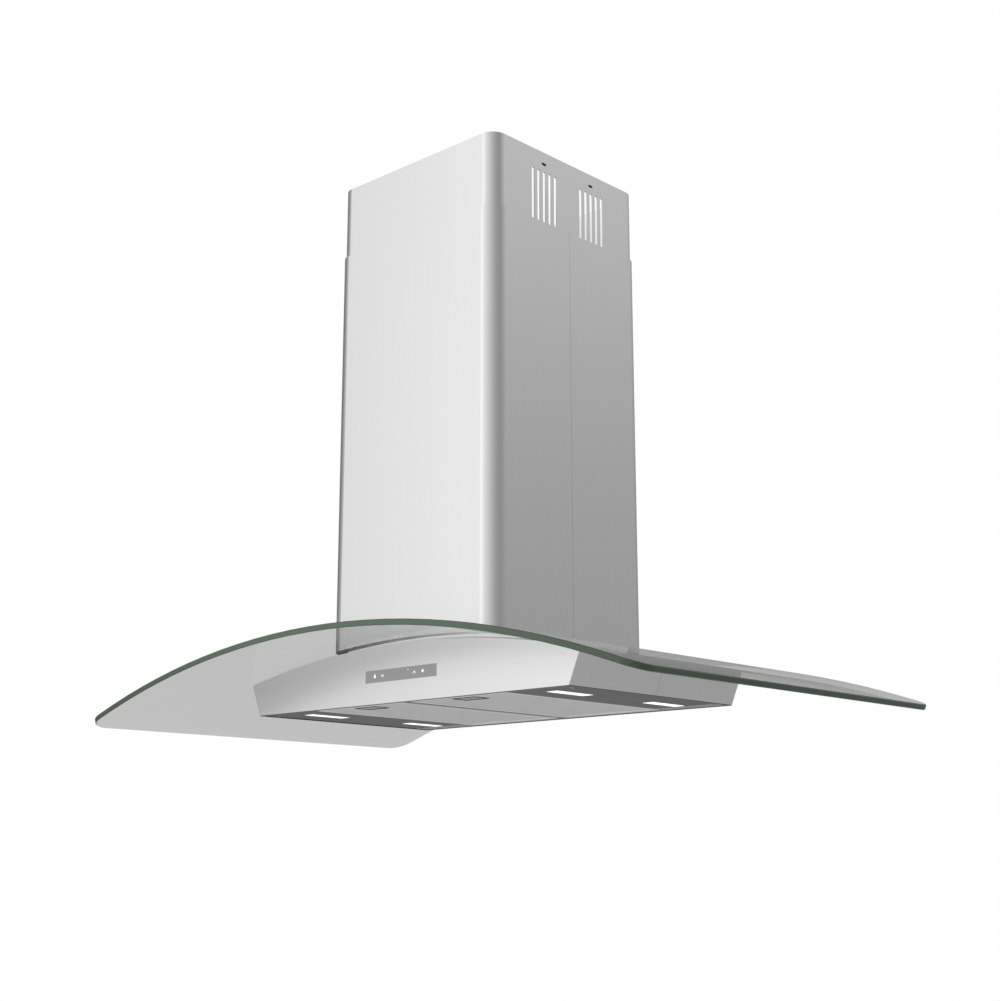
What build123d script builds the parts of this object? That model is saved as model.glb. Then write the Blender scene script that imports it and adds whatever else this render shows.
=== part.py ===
from build123d import *
import math
import os

# Island range hood, hung from a ceiling bracket.  Millimetres, +Z up, X along the width, -Y the front.
# The origin is the middle of the bracket's ceiling face.  Every part of the hood below the bracket is
# drawn with its height counted up from the rim of the hood body, and lowered by hang() when saved.
ceiling_to_rim = 803.0

# Bent glass canopy: a piece of a cylinder whose axis runs front to back.
glass_width = 1067.0
glass_depth = 652.0
glass_thickness = 8.0
glass_radius = 1535.0
glass_apex = 90.8
glass_corner = 30.0
glass_edge = 1.2

# Hood body under the glass: upright front and rear, side panels that lean outward going up.
body_width = 610.0
body_depth = 349.0
side_lean = 0.424
body_sheet = 1.2
body_bend = 1.5
hem_height = 10.0
gasket_thickness = 0.8
seam = 0.3

# Two-part chimney: the lower tube slides outside the upper one.
chimney_width = 329.5
chimney_depth = 326.3
chimney_corner = 25.0
chimney_sheet = 1.0
chimney_step = 2.5
chimney_foot_gap = 0.5
lower_chimney_top = 692.3
upper_chimney_length = 480.0

# Vents and fixing slots near the top of the upper tube, as depths below the ceiling.
vent_count = 5
vent_pitch = 12.15
vent_width = 5.0
vent_top = 30.4
vent_bottom = 110.3
vent_offset = 53.0
fixing_slot = (10.0, 4.0)
fixing_slot_depth = 18.6

# Telescopic frame inside the chimney.
angle_thickness = 2.0
upper_angle = 30.0
lower_angle = 26.0
frame_half = 144.0
frame_gap = 0.4
upper_post_bottom = -420.0
lower_post_top = 673.0
lower_post_bottom = 66.0
bolt_heights = (603.0, 633.0)
bolt_radius = 3.0
slot_width = 7.0
raise_travel = 40.0
lower_travel = 200.0
bracket_opening = (124.0, 130.0)
bracket_flange = 25.0
bracket_lip = 1.5
bracket_corner = 12.0
ceiling_hole = (138.0, 90.0, 3.5)

# Square sleeve that joins the body to the frame through the glass.
sleeve_sheet = 1.5
sleeve_top = 120.0
glass_cutout_half = 147.0

# Underside: panel, grease filters with their latches, and lamps.
panel_height = 1.0
opening_x = 190.0
opening_y = 168.0
filter_width = 181.5
filter_depth = 330.0
filter_thickness = 9.5
filter_centre = 98.0
filter_border = 10.0
filter_sheet = 1.1
rail_half = 6.4
pivot_y = 163.5
pivot_height = 2.5
pocket_y = -137.0
pocket_size = (40.0, 26.0)
pocket_wall = 1.2
latch_travel = 8.0
lamp_x = 240.6
lamp_y = 100.0
lamp_shift = 2.5
lamp_size = (18.8, 72.5)

# Touch control in the front face.
control_width = 141.5
control_bottom = 31.0
control_top = 47.7
control_thickness = 3.0
icon_depth = 0.3

# Blower: a scroll with its axis front to back, an adapter box, and a round outlet collar.
blower_height = 225.0
scroll_half = 61.0
scroll_wall = 2.0
scroll_radius = 82.0
scroll_growth = 7.0
outlet_inner = 12.0
outlet_top = 345.0
inlet_radius = 62.0
impeller_radius = 72.0
impeller_half = 56.0
blade_count = 24
shaft_radius = 4.0
motor_radius = 44.0
adapter_top = 395.0
collar_radius = 75.0
collar_wall = 1.0
collar_top = 455.0
damper_height = 418.0
damper_pin_radius = 1.5

os.makedirs("parts", exist_ok=True)


def save(name, *pieces):
    solids = [solid for piece in pieces for solid in piece.solids()]
    export_step(Compound(children=solids) if len(solids) > 1 else solids[0], f"parts/{name}.step")


def hang(name, *pieces):
    save(name, *[Pos(0, 0, -ceiling_to_rim) * piece for piece in pieces])


def block(x0, x1, y0, y1, z0, z1):
    return Pos((x0 + x1) / 2, (y0 + y1) / 2, (z0 + z1) / 2) * Box(x1 - x0, y1 - y0, z1 - z0)


def slab(half_x, half_y, z0, z1):
    return block(-half_x, half_x, -half_y, half_y, z0, z1)


def upright(radius, x, y, z0, z1):
    return Pos(x, y, (z0 + z1) / 2) * Cylinder(radius, z1 - z0)


def along_x(radius, x0, x1, y, z):
    return Pos((x0 + x1) / 2, y, z) * Rot(0, 90, 0) * Cylinder(radius, x1 - x0)


def along_y(radius, x, y0, y1, z):
    return Pos(x, (y0 + y1) / 2, z) * Rot(90, 0, 0) * Cylinder(radius, y1 - y0)


def ring(half_outer, half_inner, z0, z1):
    return slab(half_outer, half_outer, z0, z1) - slab(half_inner, half_inner, z0 - 1, z1 + 1)


def four_ways(piece):
    flipped = [piece, mirror(piece, Plane.YZ)]
    return flipped + [mirror(each, Plane.XZ) for each in flipped]


def both_sides(piece, plane=Plane.YZ):
    return [piece, mirror(piece, plane)]


def rounded_tube(half_x, half_y, corner, sheet, z0, z1):
    outer = RectangleRounded(2 * half_x, 2 * half_y, corner)
    inner = RectangleRounded(2 * (half_x - sheet), 2 * (half_y - sheet), corner - sheet)
    return Pos(0, 0, z0) * extrude(outer - inner, amount=z1 - z0)


def side_slot(y, height, wide, tall):
    # A slot with round ends, right through both side faces of the chimney.
    upright_slot = tall > wide
    outline = SlotOverall(max(wide, tall), min(wide, tall), rotation=90 if upright_slot else 0)
    return extrude(Plane.YZ * Pos(y, height) * outline, amount=200, both=True)


def hex_bolt(radius, head_height, shank, across):
    head = extrude(RegularPolygon(across / 2, 6, major_radius=False), amount=head_height)
    return head + Pos(0, 0, -shank / 2) * Cylinder(radius, shank)


def pan_screw(radius, shank):
    head = Cylinder(radius * 2, radius * 1.2)
    head = fillet(head.faces().sort_by(Axis.Z)[-1].edges(), radius * 0.6)
    head = head - Pos(0, 0, radius * 0.6) * (Box(radius * 2, 0.8, 1) + Box(0.8, radius * 2, 1))
    return Pos(0, 0, radius * 0.6) * head + Pos(0, 0, -shank / 2) * Cylinder(radius, shank)


# Ceiling side ----------------------------------------------------------------------------------------

def ceiling_bracket():
    # A plate open to the rear, with a tab at each corner for the posts and a lip along each side for the chimney.
    open_x, open_front = bracket_opening
    outer = frame_half + angle_thickness
    inside_chimney = chimney_width / 2 - chimney_step - chimney_sheet - 1.2
    plate = extrude(RectangleRounded(2 * inside_chimney, 2 * outer, bracket_corner), amount=-angle_thickness)
    bracket = plate - block(-open_x, open_x, -open_front, 2 * outer, -10, 10)
    for tab in four_ways(block(frame_half, outer, frame_half - 32, outer, -bracket_flange, 0)):
        bracket += tab
    lip = block(inside_chimney - bracket_lip, inside_chimney, -75, 75, -29, 0)
    for side in (-vent_offset, vent_offset):
        lip -= side_slot(side, -fixing_slot_depth, 14, 7)
    for each in both_sides(lip):
        bracket += each
    hole_x, hole_y, hole_radius = ceiling_hole
    for hole in four_ways(upright(hole_radius, hole_x, hole_y, -5, 5)):
        bracket -= hole
    for hole in four_ways(along_x(2.6, frame_half - 5, outer + 5, frame_half - 15, -14)):
        bracket -= hole
    return bracket


def corner_angle(half, width, z0, z1):
    inner = half - angle_thickness
    return block(half - width, half, half - width, half, z0, z1) - block(
        half - width - 1, inner, half - width - 1, inner, z0 - 1, z1 + 1)


def upper_frame_posts():
    post = corner_angle(frame_half, upper_angle, upper_post_bottom, -angle_thickness)
    bolts = [height - ceiling_to_rim for height in bolt_heights]
    slot_top = max(bolts) + raise_travel + slot_width
    slot_bottom = min(bolts) - lower_travel - slot_width
    across = frame_half - 15
    post -= block(frame_half - 5, frame_half + 5, across - slot_width / 2, across + slot_width / 2,
                  slot_bottom, slot_top)
    post -= along_x(2.6, frame_half - 5, frame_half + 5, across, -14)
    return four_ways(post)


def post_bolts():
    bolt = Rot(0, 90, 0) * hex_bolt(2.5, 3.5, 8, 8)
    return four_ways(Pos(frame_half + angle_thickness, frame_half - 15, -14) * bolt)


def upper_chimney():
    half_x = chimney_width / 2 - chimney_step
    half_y = chimney_depth / 2 - chimney_step
    tube = rounded_tube(half_x, half_y, chimney_corner - chimney_step, chimney_sheet,
                        -upper_chimney_length, 0)
    wide, tall = fixing_slot
    for side in (-vent_offset, vent_offset):
        for number in range(vent_count):
            y = side + (number - (vent_count - 1) / 2) * vent_pitch
            tube -= side_slot(y, -(vent_top + vent_bottom) / 2, vent_width, vent_bottom - vent_top)
        tube -= side_slot(side, -fixing_slot_depth, wide, tall)
    return tube


# Lower chimney ---------------------------------------------------------------------------------------

def arch(radius, length=700.0):
    return Pos(0, 0, glass_apex - glass_radius) * Rot(90, 0, 0) * Cylinder(radius, length)


def lower_chimney(front):
    half_x = chimney_width / 2
    half_y = chimney_depth / 2
    tube = rounded_tube(half_x, half_y, chimney_corner, chimney_sheet, 40, lower_chimney_top)
    edge = seam / 2
    half_space = slab(400, 400, 0, 800)
    keep = Pos(0, -400 - edge, 0) * half_space if front else Pos(0, 400 + edge, 0) * half_space
    return (tube & keep) - arch(glass_radius + chimney_foot_gap)


def chimney_joint_strips():
    inner = chimney_width / 2 - chimney_sheet
    return both_sides(block(inner - 0.8, inner, -15, 15, 95, lower_chimney_top - 4))


# Frame and sleeve on the hood ------------------------------------------------------------------------

def lower_frame_posts():
    half = frame_half - angle_thickness - frame_gap
    post = corner_angle(half, lower_angle, lower_post_bottom, lower_post_top)
    for height in bolt_heights:
        post -= along_x(bolt_radius + 0.1, half - 5, half + 5, frame_half - 15, height)
    post -= along_x(2.6, half - 5, half + 5, frame_half - 15, 108)
    return four_ways(post)


def frame_bolts():
    bolt = Rot(0, 90, 0) * hex_bolt(bolt_radius, 4, 11, 10)
    places = [Pos(frame_half + frame_gap, frame_half - 15, height) * bolt for height in bolt_heights]
    return [each for place in places for each in four_ways(place)]


def frame_nuts():
    nut = extrude(RegularPolygon(5, 6, major_radius=False) - Circle(bolt_radius + 0.02), amount=5)
    inner = frame_half - 2 * angle_thickness - frame_gap
    places = [Pos(inner - 5, frame_half - 15, height) * Rot(0, 90, 0) * nut for height in bolt_heights]
    return [each for place in places for each in four_ways(place)]


def sleeve_halves():
    inner = frame_half - angle_thickness - frame_gap
    return inner + sleeve_sheet, inner


def blower_sleeve():
    outer, inner = sleeve_halves()
    sleeve = ring(outer, inner, lower_post_bottom, sleeve_top)
    ledge = ring(inner + 0.5, 105, sleeve_top - sleeve_sheet, sleeve_top)
    for notch in four_ways(block(inner - lower_angle - 0.3, inner, inner - lower_angle - 0.3, inner, 100, 130)):
        ledge -= notch
    sleeve += ledge
    for hole in four_ways(along_x(2.6, inner - 5, outer + 5, frame_half - 15, 108)):
        sleeve -= hole
    for side in ("right", "rear"):
        for hole in four_ways(turned(along_x(2.1, inner - 5, outer + 5, 30, 104), side)):
            sleeve -= hole
    return sleeve


def post_foot_bolts():
    outer, inner = sleeve_halves()
    bolt = Rot(0, 90, 0) * hex_bolt(2.5, 3.5, 8, 8)
    return four_ways(Pos(outer, frame_half - 15, 108) * bolt)


# Glass and its fixing --------------------------------------------------------------------------------

def glass_canopy():
    centre_height = glass_apex - glass_radius
    half_angle = math.asin(glass_width / 2 / glass_radius)
    under_radius = glass_radius - glass_thickness

    def on_arc(radius, angle):
        return (radius * math.sin(angle), centre_height + radius * math.cos(angle))

    upper = ThreePointArc(on_arc(glass_radius, -half_angle), on_arc(glass_radius, 0),
                          on_arc(glass_radius, half_angle))
    lower = ThreePointArc(on_arc(under_radius, half_angle), on_arc(under_radius, 0),
                          on_arc(under_radius, -half_angle))
    right = Line(upper @ 1, lower @ 0)
    left = Line(lower @ 1, upper @ 0)
    glass = extrude(Plane.XZ * make_face(upper + right + lower + left), amount=glass_depth / 2, both=True)
    corners = [edge for edge in glass.edges() if abs(edge.length - glass_thickness) < 0.01]
    glass = fillet(corners, glass_corner)
    rims = [edge for edge in glass.edges() if edge.length > glass_thickness + 1]
    glass = chamfer(rims, glass_edge)
    cutout = Pos(0, 0, 40) * extrude(RectangleRounded(2 * glass_cutout_half, 2 * glass_cutout_half, 10), amount=80)
    return glass - cutout


def glass_gasket():
    top = glass_radius - glass_thickness
    band = body_envelope(4) & arch(top)
    band -= arch(top - gasket_thickness)
    return band - body_envelope(16)


def clamp(side):
    # One clip for the right side or the rear: a leg on the sleeve and a foot over the glass.
    outer, _ = sleeve_halves()
    glass_top = glass_apex if side == "rear" else glass_apex - 6.0
    foot = block(outer, outer + 14, 16, 44, glass_top + 3.0, glass_top + 5.0)
    leg = block(outer, outer + 2, 16, 44, glass_top + 3.0, 112)
    leg -= along_x(2.1, outer - 5, outer + 5, 30, 104)
    return foot + leg


def turned(piece, side):
    return piece if side == "right" else Rot(0, 0, 90) * piece


def glass_clamps():
    pieces = []
    for side in ("right", "rear"):
        clip = turned(clamp(side), side)
        pieces += four_ways(clip)
    return pieces


def clamp_pads():
    outer, _ = sleeve_halves()
    pieces = []
    for side in ("right", "rear"):
        glass_top = glass_apex if side == "rear" else glass_apex - 6.0
        pad = turned(block(outer + 4.5, outer + 13, 18, 42, glass_top - 6.0, glass_top + 3.0), side)
        pieces += four_ways(pad - arch(glass_radius))
    return pieces


def small_screws():
    # The same screw holds the glass clamps to the sleeve and the motor bracket to the scroll.
    outer, _ = sleeve_halves()
    screw = pan_screw(2.0, 6)
    pieces = []
    for side in ("right", "rear"):
        pieces += four_ways(turned(Pos(outer + 2, 30, 104) * Rot(0, 90, 0) * screw, side))
    for x, z in motor_screw_places():
        pieces.append(Pos(x, scroll_half + 3, z) * Rot(-90, 0, 0) * screw)
    return pieces


# Hood body -------------------------------------------------------------------------------------------

def body_envelope(inset, bend=0.0):
    # The space inside the body walls, pulled in by inset, open ended above and below.
    slant = math.hypot(1, side_lean)
    foot = body_width / 2 - inset * slant
    drop, rise = 40.0, 160.0
    outline = Polygon((-foot + drop * side_lean, -drop), (foot - drop * side_lean, -drop),
                      (foot + rise * side_lean, rise), (-foot - rise * side_lean, rise), align=None)
    prism = extrude(Plane.XZ * outline, amount=body_depth / 2 - inset, both=True)
    if bend:
        steep = [edge for edge in prism.edges() if abs(edge.length - (drop + rise) * slant) < 0.5]
        prism = fillet(steep, bend)
    return prism


def body_shell(front):
    top = glass_radius - glass_thickness - gasket_thickness
    walls = (body_envelope(0, body_bend) - body_envelope(body_sheet)) & arch(top)
    walls &= slab(500, 300, 0, 120)
    hem = (body_envelope(body_sheet - 0.05) - body_envelope(2 * body_sheet)) & slab(500, 300, 0, hem_height)
    shell = walls + hem
    if front:
        shell &= block(-500, 500, -300, -seam / 2, -10, 200)
        gap = 0.15
        shell -= block(-control_width / 2 - gap, control_width / 2 + gap, -body_depth / 2 - 5,
                       -body_depth / 2 + 5, control_bottom - gap, control_top + gap)
    else:
        shell &= block(-500, 500, seam / 2, 300, -10, 200)
    return shell


def body_top_plate():
    top = glass_radius - glass_thickness - gasket_thickness
    plate = (body_envelope(body_sheet) & arch(top)) - arch(top - body_sheet)
    outer, _ = sleeve_halves()
    return (plate & slab(500, 300, 0, 120)) - slab(outer, outer, 0, 200)


def body_seam_plates():
    # Plates inside the side panels that tie the front and rear halves together.
    plate = (body_envelope(body_sheet) - body_envelope(2 * body_sheet)) & block(200, 400, -14, 14, 14, 42)
    return both_sides(plate)


def underside_panel():
    panel = slab(body_width / 2 - 3.0, body_depth / 2 - 2.7, panel_height, panel_height + body_sheet)
    panel -= slab(opening_x, opening_y, -5, 10)
    wide, deep = lamp_size
    gap = 0.3
    window = block(lamp_x - wide / 2 - gap, lamp_x + wide / 2 + gap,
                   lamp_y - deep / 2 - gap, lamp_y + deep / 2 + gap, -5, 10)
    for hole in at_lamps(window):
        panel -= hole
    for hole in four_ways(upright(1.6, 290, 150, -5, 10)):
        panel -= hole
    for upstand in both_sides(block(opening_x, opening_x + body_sheet, -opening_y, opening_y, panel_height, 16)):
        panel += upstand
    return panel


def panel_screws():
    return four_ways(Pos(290, 150, panel_height) * Rot(180, 0, 0) * pan_screw(1.5, 7) & slab(400, 400, 0.05, 20))


def centre_rail():
    # Flat bar between the two filters, lying on the inner face of the panel.
    floor = panel_height + body_sheet
    return slab(rail_half, opening_y + 3.4, floor, floor + 1.5)


def at_lamps(piece):
    # The four lamps sit a little to the rear of the body's middle.
    return [Pos(0, lamp_shift, 0) * each for each in four_ways(piece)]


def lamp_lenses():
    wide, deep = lamp_size
    lens = block(lamp_x - wide / 2, lamp_x + wide / 2, lamp_y - deep / 2, lamp_y + deep / 2, 0.8, 3.8)
    lens = chamfer(lens.faces().sort_by(Axis.Z)[0].edges(), 0.4)
    return at_lamps(lens)


def lamp_modules():
    wide, deep = lamp_size
    case = block(lamp_x - wide / 2 - 5, lamp_x + wide / 2 + 5, lamp_y - deep / 2 - 6, lamp_y + deep / 2 + 6,
                 2.2, 15)
    case -= block(lamp_x - wide / 2 - 0.2, lamp_x + wide / 2 + 0.2, lamp_y - deep / 2 - 0.2,
                  lamp_y + deep / 2 + 0.2, 0, 12)
    return at_lamps(case)


def lamp_boards():
    wide, deep = lamp_size
    board = block(lamp_x - wide / 2 + 1, lamp_x + wide / 2 - 1, lamp_y - deep / 2 + 1, lamp_y + deep / 2 - 1,
                  10.4, 12)
    return at_lamps(board)


# Touch control ---------------------------------------------------------------------------------------

def control_place(x, height, depth=0.0):
    # Local X to the right and local Y up, on the front face, looking out at -Y.
    return Plane(origin=(x, -body_depth / 2 + depth, height), x_dir=(1, 0, 0), z_dir=(0, -1, 0))


def chevron(direction):
    arm = 2.6
    tip = 1.5 * direction
    width = 0.75
    path = [(-arm, -tip), (0, tip), (arm, -tip), (arm, -tip - width * 1.5), (0, tip - width * 1.5),
            (-arm, -tip - width * 1.5)]
    return Polygon(*path, align=None)


def droplet():
    round_part = Pos(0, -0.8) * Circle(2.0)
    point = Polygon((-1.75, 0.2), (1.75, 0.2), (0, 3.2), align=None)
    return round_part + point


def diamond():
    return Rot(0, 0, 45) * Rectangle(3.6, 3.6)


def icon_shapes():
    middle = (control_bottom + control_top) / 2 + 0.6
    icons = [(-51.9, middle, droplet()), (-35.9, middle, chevron(-1)), (27.6, middle, chevron(1)),
             (43.9, middle, diamond()), (15.0, middle + 3.8, Circle(0.8))]
    return [extrude(control_place(x, height) * shape, amount=-icon_depth) for x, height, shape in icons]


def touch_panel():
    face = -body_depth / 2
    panel = block(-control_width / 2, control_width / 2, face, face + control_thickness, control_bottom,
                  control_top)
    for icon in icon_shapes():
        panel -= icon
    return panel


def control_board():
    face = -body_depth / 2 + control_thickness
    return block(-64, 64, face + 1.5, face + 3.1, control_bottom - 2, control_top + 2)


def control_housing():
    face = -body_depth / 2 + control_thickness
    case = block(-76, 76, face, face + 16, control_bottom - 6, control_top + 6)
    return case - block(-74, 74, face - 1, face + 14, control_bottom - 4, control_top + 4)


# Grease filters and latches: drawn for the right filter, whose left edge is near the middle ----------

def filter_frame():
    z0 = panel_height
    z1 = z0 + filter_thickness
    half_x = filter_width / 2
    half_y = filter_depth / 2
    body = Pos(0, 0, z0) * extrude(RectangleRounded(filter_width, filter_depth, 5), amount=filter_thickness)
    body -= slab(half_x - filter_border, half_y - filter_border, z0 - 1, z1 + 1)
    body -= slab(half_x - filter_sheet, half_y - filter_sheet, z0 + filter_sheet, z1 - filter_sheet)
    for x in (-50, 50):
        body += block(x - 9, x + 9, half_y - 1, half_y + 5.5, 3.2, 4.8)
    body -= block(-6, 6, -half_y - 1, -half_y + filter_border + 1, 3.4, 7.4)
    return Pos(filter_centre, 0, 0) * body


def filter_mesh():
    wide, deep = pocket_size
    pack = slab(filter_width / 2 - filter_sheet - 0.2, filter_depth / 2 - filter_sheet - 0.2,
                panel_height + filter_sheet + 0.1, panel_height + filter_thickness - filter_sheet - 0.1)
    pack -= block(-wide / 2 - pocket_wall, wide / 2 + pocket_wall, -filter_depth / 2 - 5,
                  pocket_y + deep / 2 + pocket_wall, -5, 20)
    return Pos(filter_centre, 0, 0) * pack


def latch_pocket():
    wide, deep = pocket_size
    z1 = panel_height + filter_thickness - filter_sheet
    cup = block(-wide / 2 - pocket_wall, wide / 2 + pocket_wall, pocket_y - deep / 2 - pocket_wall,
                pocket_y + deep / 2 + pocket_wall, panel_height - 0.2, z1)
    cup -= block(-wide / 2, wide / 2, pocket_y - deep / 2, pocket_y + deep / 2, -5, z1 - pocket_wall)
    cup -= block(-5.6, 5.6, pocket_y - deep / 2 - 5, pocket_y - deep / 2 + 1, 3.6, 7.2)
    return Pos(filter_centre, 0, 0) * cup


def latch_handle():
    front = pocket_y - pocket_size[1] / 2 + 0.5
    plate = block(-16, 16, front, front + 11, 4.2, 6.4)
    grip = block(-16, 16, front, front + 3, 1.0, 5.0)
    grip = fillet(grip.edges().filter_by(Axis.X).group_by(Axis.Z)[0], 0.9)
    tongue = block(-5, 5, -opening_y + 0.4, front + 2, 4.2, 6.4)
    return Pos(filter_centre, 0, 0) * (plate + grip + tongue)


def latch_spring():
    start = pocket_y - pocket_size[1] / 2 + 0.5 + 11 + 0.35
    end = pocket_y + pocket_size[1] / 2 - 0.35
    wire = 0.4
    coil = 1.8
    length = end - start - 2 * wire
    path = Helix(pitch=length / 4.5, height=length, radius=coil, direction=(0, 1, 0))
    profile = Plane(origin=path @ 0, z_dir=path % 0) * RegularPolygon(wire, 8)
    return Pos(filter_centre, start + wire, 5.2) * sweep(profile, path=path)


# Blower ----------------------------------------------------------------------------------------------

def scroll_outline():
    # Three quarter arcs, each larger than the last, then a straight outlet going up on the right.
    offset = scroll_growth / 2 - 0.5
    first = (-offset, -offset)
    second = (first[0] + scroll_growth, first[1])
    third = (second[0], second[1] + scroll_growth)
    middle_radius = scroll_radius + scroll_growth
    last_radius = scroll_radius + 2 * scroll_growth
    over = CenterArc(first, scroll_radius, 90, 90)
    down = CenterArc(second, middle_radius, 180, 90)
    under = CenterArc(third, last_radius, 270, 90)
    top = outlet_top - blower_height
    outlet = Polyline(under @ 1, (third[0] + last_radius, top), (outlet_inner, top),
                      (outlet_inner, scroll_radius + 3), over @ 0)
    return make_face(over + down + under + outlet)


def scroll_half_shell(front):
    outline = scroll_outline()
    inner = offset(outline, amount=-scroll_wall)
    inner += Pos((outlet_inner + 100) / 2, outlet_top - blower_height) * Rectangle(
        100 - outlet_inner - 2 * scroll_wall - 1, 30)
    outer_solid = Pos(0, 0, blower_height) * extrude(Plane.XZ * outline, amount=scroll_half)
    foot = block(-34, 34, -scroll_half, -scroll_half + 19, 123, 150)
    hollow = Pos(0, 0, blower_height) * extrude(Plane.XZ * inner, amount=scroll_half - scroll_wall)
    shell = (outer_solid + foot) - hollow
    shell -= along_y(inlet_radius, 0, -scroll_half - 5, -scroll_half + 5, blower_height)
    shell -= block(-200, 200, -seam / 2, 5, 0, 500)
    if front:
        return shell
    shell = mirror(shell, Plane.XZ)
    for x, z in motor_screw_places():
        shell -= along_y(2.05, x, scroll_half - 5, scroll_half + 5, z)
    return shell


def blower_rails():
    _, inner = sleeve_halves()
    return both_sides(block(-inner, inner, -60, -42, sleeve_top, sleeve_top + 3), Plane.XZ)


def inlet_ring():
    profile = Polygon((inlet_radius - 4, 5), (inlet_radius + 10, 0), (inlet_radius + 10, 1.5),
                      (inlet_radius - 2, 6.5), align=None)
    bell = revolve(Plane.XZ * profile, Axis.Z)
    return Pos(0, -scroll_half, blower_height) * Rot(90, 0, 0) * Rot(0, 0, 0) * bell


def impeller():
    # Two end rings and a centre plate with a boss; the blades stand between them in two rows.
    pieces = []
    for end in (-1, 1):
        band = Cylinder(impeller_radius, 3) - Cylinder(impeller_radius - 12, 3)
        pieces.append(Pos(0, 0, end * (impeller_half - 1.5)) * band)
    plate = Cylinder(impeller_radius - 2, 2) + Cylinder(11, 16)
    pieces.append(plate - Cylinder(shaft_radius + 0.02, 40))
    return [Pos(0, 0, blower_height) * Rot(90, 0, 0) * piece for piece in pieces]


def impeller_blades():
    length = impeller_half - 4
    pieces = []
    for row in (-1, 1):
        blade = Pos(impeller_radius - 6.5, 0, row * (1 + length / 2)) * Rot(0, 0, 35) * Box(11, 1, length)
        for number in range(blade_count):
            turn = Rot(0, 0, number * 360 / blade_count)
            pieces.append(Pos(0, 0, blower_height) * Rot(90, 0, 0) * turn * blade)
    return pieces


def motor_shaft():
    return along_y(shaft_radius, 0, -18, 98, blower_height)


def impeller_nut():
    nut = extrude(RegularPolygon(6.5, 6, major_radius=False) - Circle(shaft_radius + 0.02), amount=6)
    return Pos(0, -8, blower_height) * Rot(90, 0, 0) * nut


def motor():
    case = along_y(motor_radius, 0, 22, 92, blower_height)
    case = fillet(case.edges().filter_by(GeomType.CIRCLE), 5)
    case += along_y(12, 0, 14, 24, blower_height) + along_y(12, 0, 90, 97, blower_height)
    return case - along_y(shaft_radius + 0.05, 0, 0, 120, blower_height)


def motor_screw_places():
    angles = [math.radians(90 + number * 120) for number in range(3)]
    return [(70 * math.cos(angle), blower_height + 70 * math.sin(angle)) for angle in angles]


def motor_bracket():
    plate = Cylinder(motor_radius + 9, 3)
    for number in range(3):
        plate += Rot(0, 0, -90 + number * 120) * Pos(58, 0, 0) * Box(36, 16, 3)
    plate -= Cylinder(motor_radius + 0.05, 10)
    plate = Pos(0, scroll_half + 1.5, blower_height) * Rot(90, 0, 0) * plate
    for x, z in motor_screw_places():
        plate -= along_y(2.05, x, scroll_half - 5, scroll_half + 5, z)
    return plate


def capacitor():
    can = along_x(15, -34, 34, 121.5, sleeve_top + 15)
    can = fillet(can.edges().filter_by(GeomType.CIRCLE), 2)
    return can + along_x(6, 34, 40, 121.5, sleeve_top + 15)


def junction_box():
    box = block(-46, 46, -140, -106, sleeve_top, sleeve_top + 42)
    box -= block(-44, 44, -138, -108, sleeve_top + 2, sleeve_top + 50)
    return box - along_x(8.0, 40, 60, -123, sleeve_top + 22)


def junction_lid():
    lid = block(-46.8, 46.8, -140.8, -105.2, sleeve_top + 42, sleeve_top + 44)
    return fillet(lid.faces().sort_by(Axis.Z)[-1].edges(), 1)


def cable_gland():
    z = sleeve_top + 22
    gland = along_x(7.9, 42, 50, -123, z)
    gland += Pos(46, -123, z) * Rot(0, 90, 0) * extrude(RegularPolygon(11, 6, major_radius=False), amount=5)
    gland += along_x(9, 51, 62, -123, z)
    gland += Pos(41, -123, z) * Rot(0, 90, 0) * extrude(RegularPolygon(10, 6, major_radius=False), amount=3)
    return gland - along_x(4.2, 35, 70, -123, z)


def outlet_adapter():
    box = slab(105, 80, outlet_top, adapter_top)
    box -= slab(105 - body_sheet, 80 - body_sheet, outlet_top + body_sheet, adapter_top - body_sheet)
    box -= block(outlet_inner + scroll_wall, 100 - scroll_wall, -scroll_half + scroll_wall,
                 scroll_half - scroll_wall, outlet_top - 5, outlet_top + 5)
    return box - upright(collar_radius - collar_wall, 0, 0, adapter_top - 5, adapter_top + 5)


def exhaust_collar():
    tube = upright(collar_radius, 0, 0, adapter_top, collar_top)
    tube += upright(collar_radius + 18, 0, 0, adapter_top, adapter_top + 1.5)
    tube -= upright(collar_radius - collar_wall, 0, 0, adapter_top - 5, collar_top + 5)
    seat = upright(collar_radius - collar_wall + 0.5, 0, 0, damper_height - 4, damper_height - 2.2)
    seat -= upright(collar_radius - collar_wall - 4, 0, 0, damper_height - 10, damper_height + 10)
    tube += seat
    return tube - along_x(damper_pin_radius, -100, 100, 0, damper_height)


def damper_pin():
    return along_x(damper_pin_radius, -collar_radius, collar_radius, 0, damper_height)


def damper_flap(front):
    # A half disc beside the pin, with knuckles round the pin; the two flaps' knuckles alternate.
    radius = collar_radius - collar_wall - 0.7
    bore = damper_pin_radius + 0.08
    knuckle_radius = bore + 0.9
    low = damper_height - 1.9
    disc = upright(radius, 0, 0, low, low + 0.8) & block(-100, 100, knuckle_radius + 0.6, 100, 0, 800)
    starts = (24, 52) if front else (10, 38)
    for start in starts:
        for knuckle in both_sides(block(start, start + 9, 0, knuckle_radius + 1.2, low, low + 0.8)):
            disc += knuckle
        for knuckle in both_sides(along_x(knuckle_radius, start, start + 9, 0, damper_height)):
            disc += knuckle
    disc -= along_x(bore, -90, 90, 0, damper_height)
    return mirror(disc, Plane.XZ) if front else disc


# Files -----------------------------------------------------------------------------------------------

save("ceiling_bracket", ceiling_bracket())
save("upper_frame_posts", *upper_frame_posts())
save("post_bolts", *post_bolts())
save("upper_chimney", upper_chimney())

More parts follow.
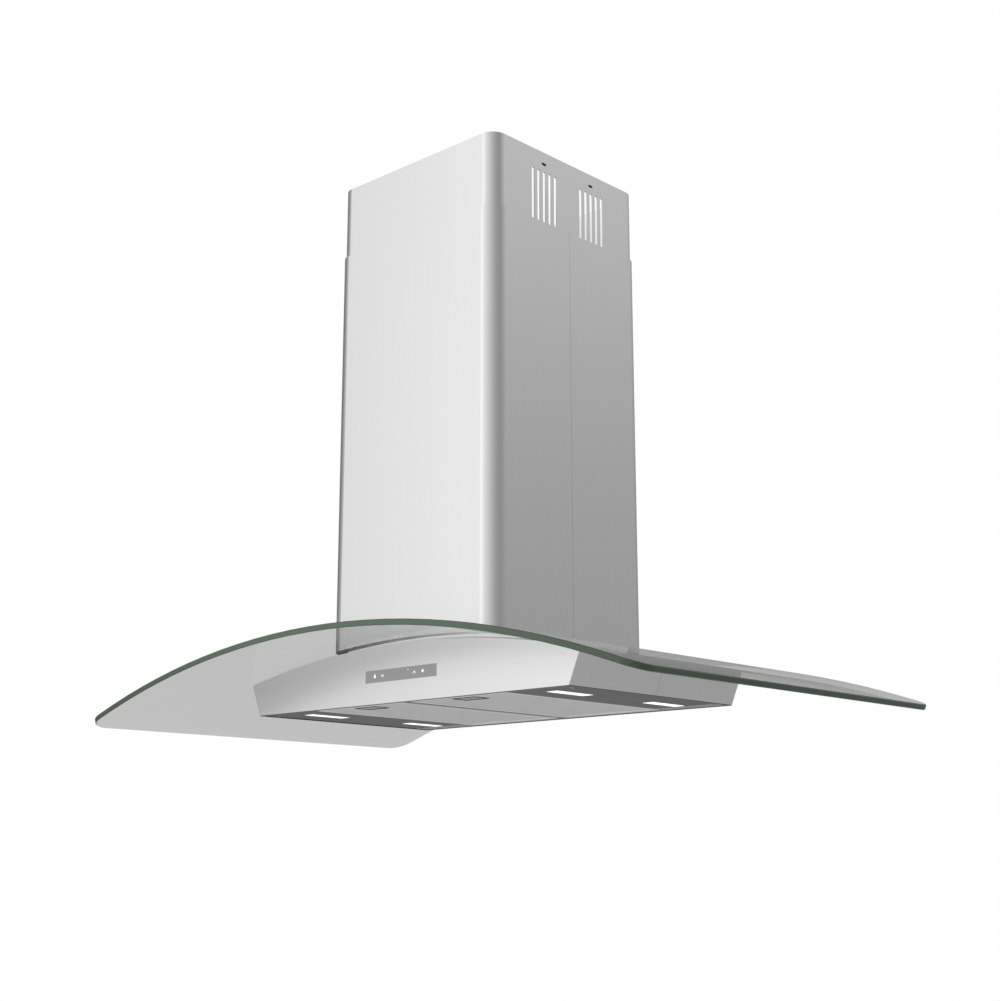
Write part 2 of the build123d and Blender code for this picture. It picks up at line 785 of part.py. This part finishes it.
hang("lower_chimney_front", lower_chimney(True))
hang("lower_chimney_rear", lower_chimney(False))
hang("chimney_joint_strips", *chimney_joint_strips())

hang("lower_frame_posts", *lower_frame_posts())
hang("frame_bolts", *frame_bolts())
hang("frame_nuts", *frame_nuts())
hang("blower_sleeve", blower_sleeve())
hang("post_foot_bolts", *post_foot_bolts())

hang("glass_canopy", glass_canopy())
hang("glass_gasket", glass_gasket())
hang("glass_clamps", *glass_clamps())
hang("clamp_pads", *clamp_pads())
hang("small_screws", *small_screws())

hang("body_front_shell", body_shell(True))
hang("body_rear_shell", body_shell(False))
hang("body_top_plate", body_top_plate())
hang("body_seam_plates", *body_seam_plates())
hang("underside_panel", underside_panel())
hang("panel_screws", *panel_screws())
hang("centre_rail", centre_rail())
hang("lamp_lenses", *lamp_lenses())
hang("lamp_modules", *lamp_modules())
hang("lamp_boards", *lamp_boards())

hang("touch_panel", touch_panel())
hang("touch_icons", *icon_shapes())
hang("control_board", control_board())
hang("control_housing", control_housing())

for side in ("right", "left"):
    for piece in (filter_frame, filter_mesh, latch_pocket, latch_handle, latch_spring):
        shape = piece()
        hang(f"{side}_{piece.__name__}", shape if side == "right" else mirror(shape, Plane.YZ))

hang("scroll_front", scroll_half_shell(True))
hang("scroll_rear", scroll_half_shell(False))
hang("blower_rails", *blower_rails())
hang("inlet_ring", inlet_ring())
hang("impeller", *impeller())
hang("impeller_blades", *impeller_blades())
hang("motor_shaft", motor_shaft())
hang("impeller_nut", impeller_nut())
hang("motor", motor())
hang("motor_bracket", motor_bracket())
hang("capacitor", capacitor())
hang("junction_box", junction_box())
hang("junction_lid", junction_lid())
hang("cable_gland", cable_gland())
hang("outlet_adapter", outlet_adapter())
hang("exhaust_collar", exhaust_collar())
hang("damper_pin", damper_pin())
hang("front_damper_flap", damper_flap(True))
hang("rear_damper_flap", damper_flap(False))
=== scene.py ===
import math

import bmesh
import bpy
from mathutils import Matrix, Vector


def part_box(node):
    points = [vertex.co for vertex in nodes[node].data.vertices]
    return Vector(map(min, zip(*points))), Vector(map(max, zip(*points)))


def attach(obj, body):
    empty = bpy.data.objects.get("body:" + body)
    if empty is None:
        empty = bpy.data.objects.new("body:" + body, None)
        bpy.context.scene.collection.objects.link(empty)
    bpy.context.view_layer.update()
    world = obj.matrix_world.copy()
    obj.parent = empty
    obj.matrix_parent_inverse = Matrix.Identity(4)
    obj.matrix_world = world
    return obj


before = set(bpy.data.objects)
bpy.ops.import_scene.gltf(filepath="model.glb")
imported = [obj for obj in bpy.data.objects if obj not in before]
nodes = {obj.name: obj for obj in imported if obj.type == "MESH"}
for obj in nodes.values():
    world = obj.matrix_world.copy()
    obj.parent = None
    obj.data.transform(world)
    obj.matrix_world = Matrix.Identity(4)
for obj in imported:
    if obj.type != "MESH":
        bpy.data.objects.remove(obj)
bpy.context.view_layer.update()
print("frame loaded:", len(nodes), "nodes")

# rim of the hood body, where heights on the hood are counted from
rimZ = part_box("body_front_shell")[0].z
mm = 0.001


class Link:
    # a socket that can be added, multiplied and so on

    def __init__(self, tree, socket):
        self.tree = tree
        self.socket = socket

    def maths(self, operation, other=None, flip=False):
        node = self.tree.nodes.new("ShaderNodeMath")
        node.operation = operation
        values = [self, other] if not flip else [other, self]
        for index, value in enumerate(values):
            if value is None:
                continue
            if isinstance(value, Link):
                self.tree.links.new(value.socket, node.inputs[index])
            else:
                node.inputs[index].default_value = value
        return Link(self.tree, node.outputs[0])

    def __add__(self, other):
        return self.maths("ADD", other)

    __radd__ = __add__

    def __sub__(self, other):
        return self.maths("SUBTRACT", other)

    def __rsub__(self, other):
        return self.maths("SUBTRACT", other, flip=True)

    def __mul__(self, other):
        return self.maths("MULTIPLY", other)

    __rmul__ = __mul__

    def __truediv__(self, other):
        return self.maths("DIVIDE", other)

    def __pow__(self, other):
        return self.maths("POWER", other)

    def abs(self):
        return self.maths("ABSOLUTE")

    def clamp(self):
        return self.maths("MAXIMUM", 0.0).maths("MINIMUM", 1.0)

    def band(self, low, high):
        # 0 below low, 1 above high, a straight climb between
        return ((self - low) / (high - low)).clamp()


class NodeMaker:
    # a node tree and the few ways its nodes are made

    def __init__(self, owner):
        owner.use_nodes = True
        self.tree = owner.node_tree
        self.tree.nodes.clear()

    def add(self, kind, settings=None, **sockets):
        node = self.tree.nodes.new(kind)
        for name, value in (settings or {}).items():
            if name == "stops":
                ramp = node.color_ramp
                while len(ramp.elements) < len(value):
                    ramp.elements.new(0.5)
                for element, (place, colour) in zip(ramp.elements, value):
                    element.position = place
                    element.color = (*colour, 1)
            else:
                setattr(node, name, value)
        for name, value in sockets.items():
            self.put(node, name.replace("_", " "), value)
        return node

    def put(self, node, name, value):
        socket = node.inputs[int(name[1:])] if name[0] == "#" else node.inputs[name]
        if isinstance(value, Link):
            self.tree.links.new(value.socket, socket)
        elif isinstance(value, (tuple, list)) and len(value) == 3 and socket.type == "RGBA":
            socket.default_value = (*value, 1)
        else:
            socket.default_value = value

    def link(self, node, name=0):
        return Link(self.tree, node.outputs[name])

    def place(self, scale=(1, 1, 1)):
        # object coordinates stretched by scale: a CAD node's object sits at the origin, so this is metres
        coord = self.link(self.add("ShaderNodeTexCoord"), "Object")
        mapping = self.add("ShaderNodeMapping", Vector=coord, Scale=scale)
        return self.link(mapping)

    def axes(self):
        coord = self.link(self.add("ShaderNodeTexCoord"), "Object")
        split = self.add("ShaderNodeSeparateXYZ", Vector=coord)
        return [self.link(split, name) for name in "XYZ"]

    def noise(self, scale, stretch=(1, 1, 1), detail=3.0, rough=0.5):
        node = self.add("ShaderNodeTexNoise", Vector=self.place(stretch), Scale=scale, Detail=detail,
                        Roughness=rough)
        return self.link(node, "Fac")

    def blend(self, amount, first, second):
        node = self.add("ShaderNodeMix", {"data_type": "RGBA"})
        self.put(node, "#0", amount)
        self.put(node, "#6", first)
        self.put(node, "#7", second)
        return self.link(node, 2)

    def bump(self, height, strength, distance):
        return self.link(self.add("ShaderNodeBump", Height=height, Strength=strength, Distance=distance))

    def principled(self, **sockets):
        return self.link(self.add("ShaderNodeBsdfPrincipled", **sockets))

    def mix(self, amount, first, second):
        node = self.add("ShaderNodeMixShader", Fac=amount)
        self.put(node, "#1", first)
        self.put(node, "#2", second)
        return self.link(node)


class Finish(NodeMaker):
    # one material

    def __init__(self, name):
        self.mat = bpy.data.materials.new(name)
        super().__init__(self.mat)
        self.out = self.tree.nodes.new("ShaderNodeOutputMaterial")

    def show(self, shader):
        self.tree.links.new(shader.socket, self.out.inputs["Surface"])
        return self.mat


def give(material, *names):
    for name in names:
        mesh = nodes[name].data
        mesh.materials.clear()
        mesh.materials.append(material)


view = {"place": (1.5776, -1.6572, rimZ - 0.2152), "yaw": 43.15, "pitch": 13.0, "lens": 56.59, "film": 36}

cameraData = bpy.data.cameras.new("camera")
cameraData.lens = view["lens"]
cameraData.sensor_width = view["film"]
camera = bpy.data.objects.new("camera", cameraData)
camera.location = view["place"]
camera.rotation_euler = (math.radians(90 + view["pitch"]), 0, math.radians(view["yaw"]))
bpy.context.scene.collection.objects.link(camera)
bpy.context.scene.camera = camera
bpy.context.scene.view_settings.view_transform = "Standard"


# the last entry of each look below is the height in mm of a line of painted shade, nearly black, along the lower
# edge, where a folded edge would turn under into shadow
chimneySteel = {"colour": (0.76, 0.763, 0.768), "streak": 0.035, "rough": 0.3, "grain": "vertical", "hem": 0.0}
bodySteel = {"colour": (0.722, 0.724, 0.727), "streak": 0.035, "rough": 0.3, "grain": "across", "hem": 0.95}
sheetSteel = {"colour": (0.78, 0.785, 0.79), "streak": 0.05, "rough": 0.42, "grain": "across", "hem": 0.0}


def brushedSteel(name, look):
    made = Finish(name)
    # long thin streaks along the brushing, and broad soft clouds of handling
    long, fine = 2.0, 900.0
    stretch = (fine, fine, long) if look["grain"] == "vertical" else (long, fine, fine)
    streak = made.noise(1.0, stretch, 4.0, 0.65)
    coarse = made.noise(1.0, tuple(s * 0.22 for s in stretch), 2.0)
    cloud = made.noise(2.4, detail=2.0)
    shade = (streak - 0.5) * look["streak"] * 2 + (coarse - 0.5) * look["streak"] + 0.5
    dark = tuple(c * 0.86 for c in look["colour"])
    light = tuple(min(1, c * 1.1) for c in look["colour"])
    colour = made.blend(shade.clamp(), dark, light)
    if look["hem"]:
        # painted shade: nearly black along the lowest part of the sheet, where it would turn under into shadow
        height = made.axes()[2] - rimZ
        paintedShade = 1 - height.band(look["hem"] * mm * 0.7, look["hem"] * mm * 1.3)
        colour = made.blend(paintedShade * 0.95, colour, tuple(c * 0.1 for c in look["colour"]))
    rough = (look["rough"] + (streak - 0.5) * 0.16 + (cloud - 0.5) * 0.06).clamp()
    normal = made.bump(streak + coarse * 0.5, 0.05, 0.0002)
    return made.show(made.principled(Base_Color=colour, Metallic=1.0, Roughness=rough, Normal=normal))


chimneyFinish = brushedSteel("chimney_steel", chimneySteel)
bodyFinish = brushedSteel("body_steel", bodySteel)
sheetFinish = brushedSteel("sheet_steel", sheetSteel)
give(chimneyFinish, "upper_chimney", "lower_chimney_front", "lower_chimney_rear")
give(bodyFinish, "body_front_shell", "body_rear_shell", "body_top_plate")
give(sheetFinish, "ceiling_bracket", "upper_frame_posts", "lower_frame_posts", "blower_sleeve",
     "chimney_joint_strips", "glass_clamps", "body_seam_plates", "blower_rails", "motor_bracket")
print("steel done")


canopyGlass = {
    "radius": 1.535, "apex": 0.0908,
    "tint": (0.732, 0.732, 0.73), "mirror": (0.93, 0.94, 0.94),
    "edge": (0.1, 0.152, 0.104), "edgeDeep": (0.04, 0.072, 0.043), "edgeBehind": (0.725, 0.732, 0.725),
    "edgeBand": (0.78, 0.95), "endsBand": (0.15, 0.5),
    "faceShare": 0.03, "slantShare": 0.96, "slantPower": 14.0,
    "cutout": 0.16, "cutoutGlow": (0.7, 0.71, 0.7), "ground": (0.3, 0.31, 0.3), "groundPale": (0.4, 0.41, 0.4),
}


def glassFinish():
    look = canopyGlass
    made = Finish("glass")
    x, y, z = made.axes()
    # the edge faces are those whose normal lies across the line to the bend's axis
    up = z - (rimZ + look["apex"] - look["radius"])
    geometry = made.add("ShaderNodeNewGeometry")
    normal = made.add("ShaderNodeSeparateXYZ", Vector=made.link(geometry, "True Normal"))
    facing = ((x * made.link(normal, "X") + up * made.link(normal, "Z")) / look["radius"]).abs()
    edge = 1 - facing.band(*look["edgeBand"])
    # clear faces: tinted see-through, with a mirror share that grows at a slant
    slant = made.link(made.add("ShaderNodeLayerWeight", Blend=0.5), "Facing")
    share = (slant ** look["slantPower"]) * look["slantShare"] + look["faceShare"]
    smear = made.noise(7.0, detail=2.0)
    clear = made.link(made.add("ShaderNodeBsdfTransparent", Color=(*look["tint"], 1)))
    shine = made.principled(Base_Color=look["mirror"], Metallic=1.0, Roughness=(smear * 0.03 + 0.01))
    pane = made.mix(share, clear, shine)
    # outer edge: green, darker towards the two ends, and see-through from within
    wave = made.noise(16.0, (1, 1, 0.2), 3.0)
    ends = x.abs().band(*look["endsBand"])
    green = made.blend((1 - ends) * 0.75 + wave * 0.25, look["edgeDeep"], look["edge"])
    rim = made.principled(Base_Color=green, Roughness=(wave * 0.1 + 0.2), IOR=1.5)
    behind = made.link(made.add("ShaderNodeBsdfTransparent", Color=(*look["edgeBehind"], 1)))
    # the cut-out's edge gives off light of its own, in place of the light that a real sheet carries there
    cutout = (look["cutout"], look["cutout"] + mm)
    inner = (1 - x.abs().band(*cutout)) * (1 - y.abs().band(*cutout))
    ground = made.principled(Base_Color=made.blend(wave, look["ground"], look["groundPale"]),
                             Roughness=(wave * 0.1 + 0.5),
                             Emission_Color=(*look["cutoutGlow"], 1), Emission_Strength=1.0)
    inside = made.mix(inner, behind, ground)
    rim = made.mix(made.link(geometry, "Backfacing"), rim, inside)
    return made.show(made.mix(edge, pane, rim))


give(glassFinish(), "glass_canopy")
print("glass done")


def moulded(name, colour, rough, mottle=0.12, grain=900.0, bumpSize=0.00006):
    made = Finish(name)
    fine = made.noise(grain, detail=3.0)
    cloud = made.noise(14.0, detail=2.0)
    dark = tuple(c * (1 - mottle) for c in colour)
    base = made.blend((fine * 0.5 + cloud * 0.5).clamp(), dark, colour)
    return made.show(made.principled(Base_Color=base, Roughness=(rough + (cloud - 0.5) * 0.1),
                                     Normal=made.bump(fine, 0.25, bumpSize)))


def plated(name, colour, rough):
    made = Finish(name)
    cloud = made.noise(60.0, detail=3.0)
    base = made.blend(cloud, tuple(c * 0.85 for c in colour), colour)
    return made.show(made.principled(Base_Color=base, Metallic=1.0, Roughness=(rough + (cloud - 0.5) * 0.14),
                                     Normal=made.bump(cloud, 0.1, 0.0001)))


def painted(name, colour, rough):
    made = Finish(name)
    peel = made.noise(420.0, detail=2.0)
    cloud = made.noise(6.0, detail=2.0)
    base = made.blend(cloud, tuple(c * 0.9 for c in colour), tuple(min(1, c * 1.08) for c in colour))
    return made.show(made.principled(Base_Color=base, Metallic=0.35, Roughness=(rough + (peel - 0.5) * 0.08),
                                     Coat_Weight=0.1, Normal=made.bump(peel, 0.12, 0.00008)))


def glowing(name, colour, light, strength):
    made = Finish(name)
    frost = made.noise(260.0, detail=2.0)
    base = made.blend(frost, tuple(c * 0.94 for c in colour), colour)
    return made.show(made.principled(Base_Color=base, Roughness=(frost * 0.1 + 0.4),
                                     Emission_Color=(*light, 1), Emission_Strength=strength))


panelLook = {"colour": (0.1, 0.101, 0.103), "rear": (0.34, 0.342, 0.345), "rearFrom": 0.1435}


def panelFinish():
    # dark satin lamp strips, and the bare strip along the rear edge
    made = Finish("panel_grey")
    peel = made.noise(420.0, detail=2.0)
    cloud = made.noise(6.0, detail=2.0)
    look = panelLook
    base = made.blend(cloud, tuple(c * 0.9 for c in look["colour"]), tuple(c * 1.1 for c in look["colour"]))
    rear = made.axes()[1].band(look["rearFrom"], look["rearFrom"] + mm)
    base = made.blend(rear, base, look["rear"])
    return made.show(made.principled(Base_Color=base, Roughness=(0.5 + (peel - 0.5) * 0.08),
                                     Normal=made.bump(peel, 0.12, 0.00008)))


give(moulded("gasket", (0.6, 0.6, 0.61), 0.85, 0.2, 500.0), "glass_gasket", "clamp_pads")
give(plated("bolt_zinc", (0.62, 0.62, 0.6), 0.3), "post_bolts", "frame_bolts", "frame_nuts", "post_foot_bolts",
     "small_screws", "panel_screws", "impeller_nut")
give(plated("shaft_steel", (0.6, 0.6, 0.61), 0.2), "motor_shaft", "damper_pin", "left_latch_spring",
     "right_latch_spring")
give(plated("latch_steel", (0.3, 0.3, 0.305), 0.35), "left_latch_handle", "right_latch_handle")
give(plated("wheel_steel", (0.5, 0.51, 0.52), 0.4), "impeller", "impeller_blades")
give(panelFinish(), "underside_panel", "centre_rail")
give(painted("motor_steel", (0.2, 0.21, 0.22), 0.45), "motor")
give(painted("adapter_zinc", (0.5, 0.51, 0.52), 0.4), "outlet_adapter", "junction_box", "junction_lid")
give(moulded("scroll_grey", (0.12, 0.12, 0.125), 0.5), "scroll_front", "scroll_rear", "inlet_ring")
give(moulded("control_case", (0.05, 0.05, 0.052), 0.5), "control_housing", "cable_gland")
give(moulded("collar_black", (0.04, 0.04, 0.04), 0.5), "exhaust_collar", "front_damper_flap", "rear_damper_flap")
give(moulded("latch_black", (0.035, 0.035, 0.037), 0.55), "left_latch_pocket", "right_latch_pocket")
give(moulded("capacitor_white", (0.75, 0.75, 0.73), 0.35), "capacitor", "lamp_modules")
give(moulded("board_green", (0.03, 0.16, 0.07), 0.45), "control_board", "lamp_boards")
give(moulded("control_face", (0.42, 0.421, 0.423), 0.3, 0.05, 1500.0, 0.00002), "touch_panel")
give(glowing("lamp_lens", (0.95, 0.95, 0.94), (1.0, 0.99, 0.97), 0.85), "lamp_lenses")
give(glowing("icon_white", (0.95, 0.95, 0.95), (1.0, 1.0, 1.0), 0.6), "touch_icons")
print("small finishes done")


# the second tone is painted shade, for the holes between a filter's strands
filterLook = {"bright": (0.92, 0.922, 0.925), "gap": (0.6, 0.6, 0.605), "metal": 0.55}


def filterFrameFinish():
    made = Finish("filter_aluminium")
    grain = made.noise(1.0, (3, 700, 700), 3.0)
    cloud = made.noise(12.0)
    look = filterLook
    base = made.blend((grain * 0.6 + cloud * 0.4), tuple(c * 0.9 for c in look["bright"]), look["bright"])
    return made.show(made.principled(Base_Color=base, Metallic=look["metal"],
                                     Roughness=(0.36 + (grain - 0.5) * 0.12),
                                     Normal=made.bump(grain, 0.08, 0.0001)))


def filterCoreFinish():
    # the imported layers behind the outer lattice: bright strands, with the holes between them painted darker as
    # painted shade
    made = Finish("mesh_aluminium")
    cells = made.link(made.add("ShaderNodeTexVoronoi", {"feature": "DISTANCE_TO_EDGE"}, Vector=made.place(),
                               Scale=420.0), "Distance")
    strand = 1 - cells.band(0.05, 0.3)
    cloud = made.noise(30.0)
    base = made.blend(strand, filterLook["gap"], filterLook["bright"])
    return made.show(made.principled(Base_Color=base, Metallic=filterLook["metal"],
                                     Roughness=(0.42 + cloud * 0.1),
                                     Normal=made.bump(strand, 0.3, 0.0004)))


def strandFinish():
    made = Finish("strand_aluminium")
    cloud = made.noise(90.0, detail=3.0)
    look = filterLook
    base = made.blend(cloud, tuple(c * 0.9 for c in look["bright"]), look["bright"])
    return made.show(made.principled(Base_Color=base, Metallic=look["metal"],
                                     Roughness=(0.38 + (cloud - 0.5) * 0.1),
                                     Normal=made.bump(cloud, 0.1, 0.0001)))


give(filterFrameFinish(), "left_filter_frame", "right_filter_frame")
give(filterCoreFinish(), "left_filter_mesh", "right_filter_mesh")

# outer expanded-metal sheet of a filter: zigzag strands joined where they meet
lattice = {
    "centre": 0.098, "halfX": 0.0807, "halfY": 0.1552, "cellX": 0.0045, "cellY": 0.009,
    "strand": 0.0009, "low": 0.0014, "high": 0.0021,
}


def makeLattice(side, centreX, finish):
    mesh = bpy.data.meshes.new(side + "_lattice")
    form = bmesh.new()
    rows = int(2 * lattice["halfY"] / (lattice["cellY"] / 2))
    steps = int(2 * lattice["halfX"] / (lattice["cellX"] / 2))
    half = lattice["strand"] / 2
    low, high = rimZ + lattice["low"], rimZ + lattice["high"]
    swing = lattice["cellY"] / 4 - half
    for row in range(rows):
        middle = -lattice["halfY"] + (row + 0.5) * lattice["cellY"] / 2
        before = None
        for step in range(steps + 1):
            x = centreX - lattice["halfX"] + step * lattice["cellX"] / 2
            y = middle + (swing if (step + row) % 2 else -swing)
            ring = [form.verts.new((x, y + dy, z)) for dy, z in
                    ((-half, low), (half, low), (half, high), (-half, high))]
            if before:
                for a in range(4):
                    b = (a + 1) % 4
                    form.faces.new((before[a], before[b], ring[b], ring[a]))
            else:
                form.faces.new(ring)
            before = ring
        form.faces.new(before[::-1])
    form.normal_update()
    form.to_mesh(mesh)
    form.free()
    mesh.materials.append(finish)
    piece = bpy.data.objects.new(side + "_lattice", mesh)
    bpy.context.scene.collection.objects.link(piece)
    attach(piece, side + "_filter")


strands = strandFinish()
makeLattice("left", -lattice["centre"], strands)
makeLattice("right", lattice["centre"], strands)
print("filters done")


# floorDrop is from the rim down to the floor, and lampRise from the rim up to the soft box
room = {"floorDrop": 1.55, "floorHalf": 2.6, "floorSides": 64, "lampRise": 2.6, "lampSize": 3.2, "lampPower": 45}


def makeFloor():
    half = room["floorHalf"]
    z = rimZ - room["floorDrop"]
    mesh = bpy.data.meshes.new("floor")
    sides = room["floorSides"]
    step = 2 * math.pi / sides
    edge = [(half * math.cos(a * step), half * math.sin(a * step), z) for a in range(sides)]
    mesh.from_pydata(edge, [], [tuple(range(sides))])
    floor = bpy.data.objects.new("floor", mesh)
    bpy.context.scene.collection.objects.link(floor)
    made = Finish("floor")
    tone = made.noise(1.5, detail=2.0)
    base = made.blend(tone, (0.8, 0.8, 0.8), (0.84, 0.84, 0.84))
    mesh.materials.append(made.show(made.principled(Base_Color=base, Roughness=0.7)))


def softBox():
    # one wide lamp overhead, facing down, left out of reflections
    data = bpy.data.lights.new("overhead", "AREA")
    data.shape = "RECTANGLE"
    data.size = room["lampSize"]
    data.size_y = room["lampSize"]
    data.energy = room["lampPower"]
    light = bpy.data.objects.new("overhead", data)
    light.location = (0, 0, rimZ + room["lampRise"])
    light.rotation_euler = Vector((0, 0, -1)).to_track_quat("-Z", "Y").to_euler()
    bpy.context.scene.collection.objects.link(light)
    light.visible_glossy = False


# brightness round the object, by the turn away from the front-left, as a share of half a turn
brightest = (-0.545, -0.839)
surround = [(0.0, 1.38), (0.055, 1.21), (0.09, 1.05), (0.14, 0.92), (0.22, 0.84), (0.45, 0.5), (0.578, 0.37),
            (0.75, 0.33), (0.944, 0.41), (1.0, 0.42)]
darkSide = {"from": 0.76, "to": 0.93, "share": 0.7}
pale = 0.04
lift = {"from": 0.75, "to": 0.92, "low": 0.22, "high": 0.6, "gain": 0.5}


def makeWorld():
    # white to the camera; in reflections, brightest at the front left and lifted high up at the back
    world = bpy.data.worlds.new("studio")
    bpy.context.scene.world = world
    sky = NodeMaker(world)
    coord = sky.link(sky.add("ShaderNodeTexCoord"), "Generated")
    split = sky.add("ShaderNodeSeparateXYZ", Vector=coord)
    x, y, z = [sky.link(split, name) for name in "XYZ"]
    flat = (x * x + y * y + 0.0001) ** 0.5
    turn = ((x * brightest[0] + y * brightest[1]) / flat).maths("ARCCOSINE") * (1 / math.pi)
    stops = [(at, (tone, tone, tone)) for at, tone in surround]
    ramp = sky.add("ShaderNodeValToRGB", {"stops": stops}, Fac=turn)
    high = turn.band(lift["from"], lift["to"]) * z.band(lift["low"], lift["high"]) * lift["gain"]
    # darker round the left, and paler below the skyline where the floor carries on
    side = (x * -1 / flat).band(darkSide["from"], darkSide["to"]) * darkSide["share"]
    below = (z * -1).band(0.0, 0.1) * pale
    around = (sky.link(ramp) + high) * (1 - side) + below
    seen = sky.link(sky.add("ShaderNodeLightPath"), "Is Camera Ray")
    tone = sky.blend(seen, around, (1, 1, 1))
    back = sky.add("ShaderNodeBackground", Color=tone, Strength=1.0)
    out = sky.tree.nodes.new("ShaderNodeOutputWorld")
    sky.tree.links.new(back.outputs[0], out.inputs["Surface"])


makeFloor()
makeWorld()
softBox()
print("stage done")
